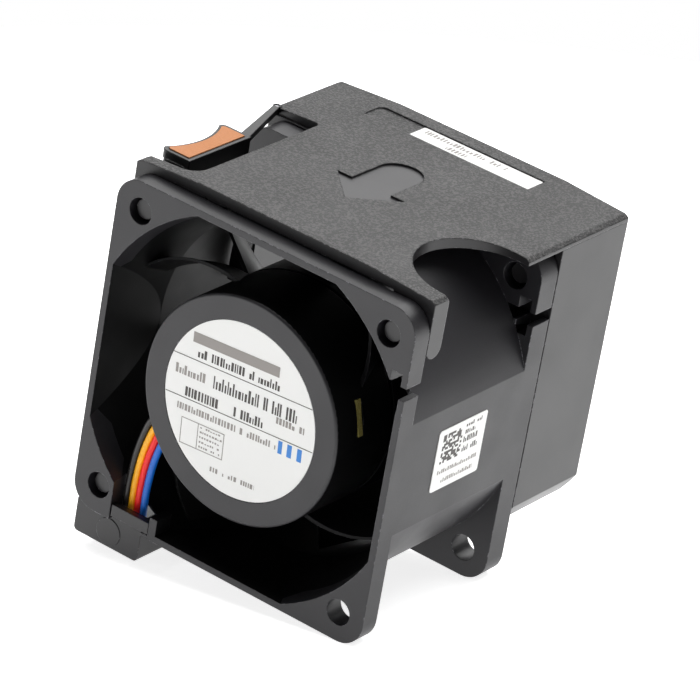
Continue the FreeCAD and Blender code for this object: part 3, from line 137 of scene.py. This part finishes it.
def makeFinish(name, s):
    m = newMaterial(name)
    place = addNode(m, "TexCoord").outputs["Object"]
    grain = addNode(m, "TexNoise", {"Scale": 1 / (s["grain"] * mm), "Detail": 2.0, "Roughness": 0.6}, {"Vector": place})
    cloud = addNode(m, "TexNoise", {"Scale": 1 / (s["cloud"] * mm), "Detail": 3.0}, {"Vector": place})
    low, high = s.get("cut", (0.4, 0.62))
    flecks = addNode(m, "MapRange", {"From Min": low, "From Max": high}, {"Value": grain.outputs["Fac"]})
    colour = addNode(m, "Mix", {"data_type": "RGBA", 6: linear(s["tone"]), 7: linear(s["fleck"])},
                     {0: flecks.outputs[0]})
    tone = colour.outputs[2]
    gloss = addNode(m, "MapRange", {"From Min": 0.3, "From Max": 0.7, "To Min": s["rough"] - s["swing"],
                                    "To Max": s["rough"] + s["swing"]}, {"Value": cloud.outputs["Fac"]})
    bump = addNode(m, "Bump", {"Strength": s["bump"], "Distance": s["grain"] * mm * 0.5},
                   {"Height": grain.outputs["Fac"]})
    if s.get("edge"):
        rounded = addNode(m, "Bevel", {"Radius": s["edge"] * mm, "samples": 6})
        m.node_tree.links.new(rounded.outputs[0], bump.inputs["Normal"])
        flat = addNode(m, "NewGeometry")
        dot = addNode(m, "VectorMath", {"operation": "DOT_PRODUCT"}, {0: rounded.outputs[0], 1: flat.outputs["Normal"]})
        low, high = edgeWear["turned"]
        rim = addNode(m, "MapRange", {"From Min": low, "From Max": high}, {"Value": dot.outputs["Value"]})
        knocks = addNode(m, "TexNoise", {"Scale": 1 / (edgeWear["size"] * mm), "Detail": 4.0, "Roughness": 0.7},
                         {"Vector": place})
        low, high = edgeWear["nicks"]
        nicks = addNode(m, "MapRange", {"From Min": low, "From Max": high}, {"Value": knocks.outputs["Fac"]})
        worn = addNode(m, "Math", {"operation": "MULTIPLY"}, {0: rim.outputs[0], 1: nicks.outputs[0]})
        wear = addNode(m, "Mix", {"data_type": "RGBA", 7: linear(s["wear"])}, {0: worn.outputs[0], 6: tone})
        tone = wear.outputs[2]
    # the default IOR of 1.5 suits these plastics too
    shader = addNode(m, "BsdfPrincipled", {"Metallic": s.get("metal", 0.0), "Specular IOR Level": s.get("gleam", 0.5)},
                     {"Base Color": tone, "Roughness": gloss.outputs[0], "Normal": bump.outputs[0]})
    addNode(m, "OutputMaterial", links={"Surface": shader.outputs[0]})
    return m


made = {name: makeFinish(name, settings) for name, settings in finishes.items()}

nodeFinish = {
    "fan_frame": "glassFilledPbtMoulded", "impeller": "impellerPbtMoulded", "yoke": "zincedSteelDrawn",
    "magnet_ring": "ferriteSintered", "rotor_shaft": "bearingSteelGround", "bearing_tube": "brassTurned",
    "bearing_outer_rings": "bearingSteelGround", "bearing_inner_rings": "bearingSteelGround",
    "retaining_ring": "zincedSteelDrawn", "preload_washer": "zincedSteelDrawn",
    "stator_core": "siliconSteelStamped", "coil_insulators": "polyamideMoulded", "coil_windings": "copperWound",
    "circuit_board": "glassEpoxyRouted", "capacitors": "shrunkSleevePet", "driver_chips": "epoxyMoulded",
    "lead_block": "epoxyMoulded", "lead_black": "blackPvcExtruded", "lead_yellow": "yellowPvcExtruded",
    "lead_red": "redPvcExtruded", "lead_blue": "bluePvcExtruded", "lead_clip": "smoothPcAbsMoulded",
    "top_cover": "grainedPcAbsMoulded", "inlet_shroud": "smoothPcAbsMoulded",
    "connector_housing": "smoothPcAbsMoulded", "connector_contacts": "brassTurned",
    "latch_lever": "blackAcetalMoulded", "grip_pad": "orangeTpeMoulded", "latch_pin": "bearingSteelGround",
}
for nodeName, finish in nodeFinish.items():
    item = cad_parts[nodeName]
    item.data.materials.clear()
    item.data.materials.append(made[finish])

# the air way's faces, which take the darker copy of the frame's PBT as painted shade: nearer the axis than reach and
# side, between the flanges' outer faces
airway = dict(reach=31.4, side=29.7, front=0.4, back=37.9)
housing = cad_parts["fan_frame"].data
housing.materials.append(made["glassFilledPbtAirwayPaintedShade"])
for face in housing.polygons:
    x, y, z = (value / mm for value in face.center)
    inside = math.hypot(x, z) < airway["reach"] and max(abs(x), abs(z)) < airway["side"]
    if inside and airway["front"] < y < airway["back"]:
        face.material_index = 1
print("finishes set:", len(nodeFinish))


def plainInk(name, tone, rough):  # screen ink on polyester film, with a slight unevenness of the coat
    m = newMaterial(name)
    place = addNode(m, "TexCoord").outputs["Object"]
    coat = addNode(m, "TexNoise", {"Scale": 1 / (0.6 * mm), "Detail": 2.0}, {"Vector": place})
    gloss = addNode(m, "MapRange", {"To Min": rough - 0.05, "To Max": rough + 0.05}, {"Value": coat.outputs["Fac"]})
    shader = addNode(m, "BsdfPrincipled", {"Base Color": linear(tone)}, {"Roughness": gloss.outputs[0]})
    addNode(m, "OutputMaterial", links={"Surface": shader.outputs[0]})
    return m


film = plainInk("polyesterFilmWhite", "ebebe9", 0.34)
inks = [film, plainInk("screenInkBlack", "3a3532", 0.45), plainInk("screenInkGrey", "8f8a86", 0.45),
        plainInk("screenInkBlue", "2a7fd0", 0.45)]
black, grey, blue = 1, 2, 3


def finishPiece(name, mesh, materials, body, stands=()):
    bmesh.ops.remove_doubles(mesh, verts=mesh.verts, dist=1e-7)
    bmesh.ops.recalc_face_normals(mesh, faces=mesh.faces)
    data = bpy.data.meshes.new(name)
    mesh.to_mesh(data)
    mesh.free()
    for material in materials:
        data.materials.append(material)
    piece = bpy.data.objects.new(name, data)
    bpy.context.scene.collection.objects.link(piece)
    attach(piece, body)
    if stands:
        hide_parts(*stands)
    return piece


def addBlock(mesh, turn, low, high, ink):  # a block between two corners in the label's own plane
    size = [b - a for a, b in zip(low, high)]
    middle = [(a + b) / 2 for a, b in zip(low, high)]
    place = turn @ Matrix.Translation(middle) @ Matrix.Diagonal((*size, 1))
    new = bmesh.ops.create_cube(mesh, size=1, matrix=place)["verts"]
    for face in {f for v in new for f in v.link_faces}:
        face.material_index = ink


def addPlate(mesh, turn, low, high, corner):  # a thin plate of film with round corners, in the same plane
    addBlock(mesh, turn, low, high, 0)
    out = (turn.to_3x3() @ Vector((0, 0, 1))).normalized()
    ends = [e for e in mesh.edges if abs((e.verts[0].co - e.verts[1].co).dot(out)) > 0.05 * mm]
    bmesh.ops.bevel(mesh, geom=ends, offset=corner * mm, segments=4, profile=0.5, affect="EDGES", material=-1)


# shares of a stroke's width or gap, of the strokes that are tall, and of the gaps that are wide
strokeLook = dict(widths=(0.6, 1.5), gaps=(0.7, 1.3), tall=0.7, short=0.62, breaks=0.12, breakGap=3)


def addStrokes(mesh, turn, rng, span, band, depth, ink, width=0.34, gap=0.24):  # a row of short strokes, no letters
    look = strokeLook
    at = span[0]
    while at < span[1]:
        step = width * rng.uniform(*look["widths"])
        high = band[1] if rng.random() < look["tall"] else band[0] + (band[1] - band[0]) * look["short"]
        addBlock(mesh, turn, (at, band[0], depth[0]), (min(at + step, span[1]), high, depth[1]), ink)
        at += step + gap * rng.uniform(*look["gaps"])
        if rng.random() < look["breaks"]:
            at += gap * look["breakGap"]


# sizes in mm from the label's centre; turn in degrees
hubPrint = dict(turn=3.7, inkDepth=0.03, rule=0.13, seed=5,
                rules=[(5.53, 14.0), (-1.64, 14.9)],
                bar=((-10.4, 8.5), (7.0, 10.3)),
                rows=[((-9.2, 7.3), (6.2, 7.7), black), ((-13.3, -7.2), (2.2, 3.8), grey),
                      ((-5.6, 11.2), (2.0, 4.2), black), ((-11.0, -4.2), (-1.2, 0.4), black),
                      ((-1.1, 4.8), (-1.2, 0.4), black), ((7.3, 12.9), (0.7, 1.8), grey),
                      ((-12.3, 7.7), (-3.8, -2.7), grey), ((-4.6, 4.4), (-12.3, -11.5), grey)],
                stamp=[(8.2, 9.0), (10.0, 10.9), (12.0, 12.9)], stampBand=(-4.2, -2.0),
                frameBox=((-11.2, -9.6), (-2.4, -5.0)), column=3.4,
                notes=5, noteStart=0.5, notePitch=0.85, noteHeight=0.3)


def makeHubPrint(s):
    low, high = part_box("hub_label")
    radius = (high.x - low.x) / 2 / mm
    rng = random.Random(s["seed"])
    mesh = bmesh.new()
    # the label's plane: u to the right, v up, w out of the label towards -Y
    turn = Matrix.Translation(((low.x + high.x) / 2, low.y, 0)) @ Matrix.Rotation(math.radians(90), 4, "X")
    turn = turn @ Matrix.Rotation(math.radians(s["turn"]), 4, "Z") @ Matrix.Scale(mm, 4)
    thick = (high.y - low.y) / mm - s["inkDepth"]
    bmesh.ops.create_cone(mesh, cap_ends=True, segments=128, radius1=radius, radius2=radius, depth=thick,
                          matrix=turn @ Matrix.Translation((0, 0, -s["inkDepth"] - thick / 2)))
    depth = (-s["inkDepth"], 0.0)
    line = s["rule"]
    for level, half in s["rules"]:
        addBlock(mesh, turn, (-half, level - line / 2, depth[0]), (half, level + line / 2, depth[1]), black)
    (left, under), (right, over) = s["bar"]
    addBlock(mesh, turn, (left, under, depth[0]), (right, over, depth[1]), grey)
    for span, band, ink in s["rows"]:
        addStrokes(mesh, turn, rng, span, band, depth, ink)
    under, over = s["stampBand"]
    for left, right in s["stamp"]:
        addBlock(mesh, turn, (left, under, depth[0]), (right, over, depth[1]), blue)
    (left, under), (right, over) = s["frameBox"]
    column = left + s["column"]
    for a, b in (((left, under), (right, under + line)), ((left, over - line), (right, over)),
                 ((left, under), (left + line, over)), ((right - line, under), (right, over)),
                 ((column, under), (column + line, over))):
        addBlock(mesh, turn, (*a, depth[0]), (*b, depth[1]), grey)
    for step in range(s["notes"]):
        level = under + s["noteStart"] + step * s["notePitch"]
        span, band = (column + 0.5, right - 0.4), (level, level + s["noteHeight"])
        addStrokes(mesh, turn, rng, span, band, depth, grey, 0.3, 0.2)
    return finishPiece("hubLabelPrint", mesh, inks, "module", ["hub_label"])


# sizes in mm from the middle of the label's front edge
sidePrint = dict(inkDepth=0.03, corner=0.5, seed=11, codeStart=(1.3, -0.7), codeCells=13, codeSide=5.2, codeFill=0.52,
                 rows=[((7.3, 11.4), (4.2, 4.9), black), ((7.3, 9.9), (2.9, 3.6), black),
                       ((7.1, 10.9), (1.4, 2.4), black), ((7.1, 11.2), (-0.3, 0.7), black),
                       ((1.2, 11.6), (-2.6, -1.9), grey), ((2.6, 10.9), (-4.4, -3.7), grey)])


def makeSidePrint(s):
    low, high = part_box("side_label")
    rng = random.Random(s["seed"])
    mesh = bmesh.new()
    # u along +Y from the label's front edge, v up from its middle, w out towards +X
    turn = Matrix(((0, 0, 1, 0), (1, 0, 0, 0), (0, 1, 0, 0), (0, 0, 0, 1))) @ Matrix.Scale(mm, 4)
    turn = Matrix.Translation((high.x, low.y, (low.z + high.z) / 2)) @ turn
    long, half = (high.y - low.y) / mm, (high.z - low.z) / mm / 2
    addPlate(mesh, turn, (0, -half, -(high.x - low.x) / mm), (long, half, -s["inkDepth"]), s["corner"])
    depth = (-s["inkDepth"], 0.0)
    cell = s["codeSide"] / s["codeCells"]
    left, under = s["codeStart"]
    for i in range(s["codeCells"]):
        for j in range(s["codeCells"]):
            if rng.random() < s["codeFill"]:
                u, v = left + i * cell, under + j * cell
                addBlock(mesh, turn, (u, v, depth[0]), (u + cell, v + cell, depth[1]), black)
    for span, band, ink in s["rows"]:
        addStrokes(mesh, turn, rng, span, band, depth, ink, 0.26, 0.22)
    return finishPiece("sideLabelPrint", mesh, inks, "module", ["side_label"])


# sizes in mm from the label's left front corner
stripPrint = dict(inkDepth=0.03, corner=0.4, seed=3, rows=[((1.2, 17.6), (2.7, 3.9)), ((6.8, 11.6), (0.8, 1.9))])


def makeStripPrint(s):
    low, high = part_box("cover_label")
    rng = random.Random(s["seed"])
    mesh = bmesh.new()
    # u along +X, v along +Y, w up
    turn = Matrix.Translation((low.x, low.y, high.z)) @ Matrix.Scale(mm, 4)
    long, wide, thick = [(b - a) / mm for a, b in zip(low, high)]
    addPlate(mesh, turn, (0, 0, -thick), (long, wide, -s["inkDepth"]), s["corner"])
    for span, band in s["rows"]:
        addStrokes(mesh, turn, rng, span, band, (-s["inkDepth"], 0.0), grey, 0.3, 0.3)
    return finishPiece("coverLabelPrint", mesh, inks, "module", ["cover_label"])


# the airflow arrow, in mm: its middle line, where its head and its round end start, their half widths and its depth;
# faces that look up more than flat keep the cover's grain
airArrow = dict(middle=-0.5, head=27.0, half=6.9, shaft=3.95, end=34.6, depth=0.35, flat=0.6)


def makeArrowCutter(s, top):  # stands half in the lid
    cutter = bmesh.new()
    deep = 2 * s["depth"]
    place = Matrix.Translation((s["middle"], s["head"], top)) @ Matrix.Rotation(math.radians(45), 4, "Z")
    side = s["half"] * math.sqrt(2)
    bmesh.ops.create_cube(cutter, size=1, matrix=place @ Matrix.Diagonal((side, side, deep, 1)))
    cut = bmesh.ops.bisect_plane(cutter, geom=cutter.verts[:] + cutter.edges[:] + cutter.faces[:],
                                 plane_co=(0, s["head"], 0), plane_no=(0, 1, 0), clear_outer=True)
    bmesh.ops.holes_fill(cutter, edges=[e for e in cut["geom_cut"] if isinstance(e, bmesh.types.BMEdge)])
    long = s["end"] - s["head"] + 1  # the shaft reaches 1 mm into the head
    place = Matrix.Translation((s["middle"], s["end"] - long / 2, top))
    bmesh.ops.create_cube(cutter, size=1, matrix=place @ Matrix.Diagonal((2 * s["shaft"], long, deep, 1)))
    bmesh.ops.create_cone(cutter, cap_ends=True, segments=64, radius1=s["shaft"], radius2=s["shaft"], depth=deep,
                          matrix=Matrix.Translation((s["middle"], s["end"], top)))
    bmesh.ops.recalc_face_normals(cutter, faces=cutter.faces)
    bmesh.ops.scale(cutter, vec=(mm, mm, mm), verts=cutter.verts)
    data = bpy.data.meshes.new("arrowCutter")
    cutter.to_mesh(data)
    cutter.free()
    data.materials.append(made["arrowPcAbsPolished"])
    return bpy.data.objects.new("arrowCutter", data)


def makeCover(s):  # the moulded cover with the arrow sunk into its top
    cutter = makeArrowCutter(s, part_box("top_cover")[1].z / mm)
    blank = bpy.data.objects.new("coverBlank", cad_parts["top_cover"].data.copy())
    for thing in (cutter, blank):
        bpy.context.scene.collection.objects.link(thing)
    sink = blank.modifiers.new("arrow", "BOOLEAN")
    sink.object, sink.solver, sink.use_self, sink.material_mode = cutter, "EXACT", True, "TRANSFER"
    bpy.context.view_layer.update()
    result = bpy.data.meshes.new_from_object(blank.evaluated_get(bpy.context.evaluated_depsgraph_get()))
    materials = list(result.materials) + [made["smoothPcAbsMoulded"]]
    mesh = bmesh.new()
    mesh.from_mesh(result)
    mesh.normal_update()
    for face in mesh.faces:
        if face.normal.z < s["flat"] and face.material_index == 0:
            face.material_index = len(materials) - 1
    for thing in (cutter, blank):
        bpy.data.objects.remove(thing)
    return finishPiece("coverWithArrow", mesh, materials, "module", ["top_cover"])


edgeRib = dict(spans=[(-27.0, -15.9), (-15.3, -12.0)], front=3.95, thick=1.0, top=30.25, deep=2.0)


def makeEdgeRib(s):  # the rib that shuts the gap under the cover's front edge
    mesh = bmesh.new()
    for left, right in s["spans"]:
        addBlock(mesh, Matrix.Scale(mm, 4), (left, s["front"], s["top"] - s["deep"]),
                 (right, s["front"] + s["thick"], s["top"]), 0)
    return finishPiece("coverEdgeRib", mesh, [made["smoothPcAbsMoulded"]], "module")


latchLip = dict(left=-28.6, right=-23.65, front=9.15, thick=1.0, top=30.45, deep=1.3, edge=0.3)


def makeLatchLip(s):  # the lip under the front end of the latch's grip
    mesh = bmesh.new()
    addBlock(mesh, Matrix.Scale(mm, 4), (s["left"], s["front"], s["top"] - s["deep"]),
             (s["right"], s["front"] + s["thick"], s["top"]), 0)
    under = [e for e in mesh.edges if all(v.co.z < (s["top"] - s["deep"] / 2) * mm for v in e.verts)]
    bmesh.ops.bevel(mesh, geom=under, offset=s["edge"] * mm, segments=3, profile=0.5, affect="EDGES", material=-1)
    return finishPiece("latchFrontLip", mesh, [made["blackAcetalMoulded"]], "latch")


makeCover(airArrow)
makeEdgeRib(edgeRib)
makeLatchLip(latchLip)
print("cover made")

makeHubPrint(hubPrint)
makeSidePrint(sidePrint)
makeStripPrint(stripPrint)
print("labels made")

# the round mark where the connector's mould was filled; front is the connector's front face
gateMark = dict(place=(-22.9, -33.5), front=1.8, radius=2.5, proud=0.12, thick=0.4, edge=0.06)


def makeGateMark(s):
    mesh = bmesh.new()
    across, height = s["place"]
    place = Matrix.Scale(mm, 4) @ Matrix.Translation((across, s["front"] + s["thick"] / 2 - s["proud"], height))
    bmesh.ops.create_cone(mesh, cap_ends=True, segments=64, radius1=s["radius"], radius2=s["radius"],
                          depth=s["thick"], matrix=place @ Matrix.Rotation(math.radians(90), 4, "X"))
    rims = [e for e in mesh.edges if len(e.link_faces) == 2 and max(len(f.verts) for f in e.link_faces) > 4]
    bmesh.ops.bevel(mesh, geom=rims, offset=s["edge"] * mm, segments=2, profile=0.5, affect="EDGES", material=-1)
    return finishPiece("connectorGateMark", mesh, [made["smoothPcAbsMoulded"]], "module")


makeGateMark(gateMark)
print("small marks made")

# the module leans by lean degrees on its connector and one corner; the floor glows a little, as lit paper does
stageSettings = dict(lean=9.0, radius=0.3, tone="f7f7f7", glow=0.85, grain=3.0, rough=(0.85, 0.95))


def makeStage(s):
    up = Vector((-math.sin(math.radians(s["lean"])), 0, math.cos(math.radians(s["lean"]))))
    lowest = min(up.dot(v.co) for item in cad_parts.values() for v in item.data.vertices)
    mesh = bmesh.new()
    turn = Vector((0, 0, 1)).rotation_difference(up).to_matrix().to_4x4()
    bmesh.ops.create_circle(mesh, cap_ends=True, segments=64, radius=s["radius"],
                            matrix=Matrix.Translation(up * lowest) @ turn)
    data = bpy.data.meshes.new("studioFloor")
    mesh.to_mesh(data)
    mesh.free()
    floor = bpy.data.objects.new("studioFloor", data)
    bpy.context.scene.collection.objects.link(floor)
    paper = newMaterial("backgroundPaperMatt")
    place = addNode(paper, "TexCoord").outputs["Object"]
    grain = addNode(paper, "TexNoise", {"Scale": 1 / (s["grain"] * mm)}, {"Vector": place})
    low, high = s["rough"]
    rough = addNode(paper, "MapRange", {"To Min": low, "To Max": high}, {"Value": grain.outputs["Fac"]})
    shader = addNode(paper, "BsdfPrincipled", {"Base Color": linear(s["tone"]), "Specular IOR Level": 0.2,
                                               "Emission Color": linear(s["tone"]), "Emission Strength": s["glow"]},
                     {"Roughness": rough.outputs[0]})
    addNode(paper, "OutputMaterial", links={"Surface": shader.outputs[0]})
    data.materials.append(paper)


makeStage(stageSettings)

# white paper seen directly and from below, a dim room above it on the camera's side
worldSettings = dict(paper="ffffff", floorGlow=1.5, room=0.12, behind=0.35)


def makeWorld(s):
    world = bpy.data.worlds.new("studioWhite")
    bpy.context.scene.world = world
    world.use_nodes = True
    world.node_tree.nodes.clear()
    toward = addNode(world, "TexCoord").outputs["Generated"]
    split = addNode(world, "SeparateXYZ", links={0: toward})
    room = addNode(world, "MapRange", {"interpolation_type": "SMOOTHSTEP", "From Min": -0.3, "From Max": 0.7,
                                       "To Min": s["room"], "To Max": s["behind"]}, {"Value": split.outputs["Y"]})
    level = addNode(world, "MapRange", {"interpolation_type": "SMOOTHSTEP", "From Min": -0.12, "From Max": 0.04,
                                        "To Min": s["floorGlow"]},
                    {"Value": split.outputs["Z"], "To Max": room.outputs[0]})
    seen = addNode(world, "LightPath").outputs["Is Camera Ray"]
    both = addNode(world, "Mix", {3: 1.0}, {0: seen, 2: level.outputs[0]})
    shade = addNode(world, "Background", {"Color": linear(s["paper"])}, {"Strength": both.outputs[0]})
    addNode(world, "OutputWorld", links={"Surface": shade.outputs[0]})


makeWorld(worldSettings)

lamps = {
    "softboxAbove": dict(place=(-0.15, 0.45, 1.1), size=1.5, power=24.0),
    "softboxBehind": dict(place=(-0.58, 0.90, 0.56), size=0.8, power=2.2),
    "softboxLow": dict(place=(-0.50, -0.85, 0.05), size=0.5, power=0.8),
}
for lampName, s in lamps.items():
    light = bpy.data.lights.new(lampName, "AREA")
    light.size = s["size"]
    light.energy = s["power"]
    lamp = bpy.data.objects.new(lampName, light)
    bpy.context.scene.collection.objects.link(lamp)
    lamp.location = s["place"]
    lamp.rotation_euler = (-Vector(s["place"])).to_track_quat("-Z", "Y").to_euler()

cameraSettings = dict(place=(0.393892, -0.575622, 0.366672), azimuth=33.106, elevation=26.817, roll=10.078,
                      lens=256.15)


def makeCamera(s):
    azimuth, elevation, roll = (math.radians(s[key]) for key in ("azimuth", "elevation", "roll"))
    back = Vector((math.cos(elevation) * math.sin(azimuth), -math.cos(elevation) * math.cos(azimuth),
                   math.sin(elevation)))
    level = Vector((math.cos(azimuth), math.sin(azimuth), 0))
    upright = back.cross(level)
    right = level * math.cos(roll) + upright * math.sin(roll)
    above = upright * math.cos(roll) - level * math.sin(roll)
    data = bpy.data.cameras.new("productCamera")
    data.lens = s["lens"]
    data.sensor_width = 36.0
    data.clip_start = 0.01
    camera = bpy.data.objects.new("productCamera", data)
    bpy.context.scene.collection.objects.link(camera)
    camera.matrix_world = Matrix((right, above, back)).transposed().to_4x4()
    camera.location = s["place"]
    bpy.context.scene.camera = camera


makeCamera(cameraSettings)
bpy.context.scene.view_settings.view_transform = "Standard"
print("stage, lamps and camera set")
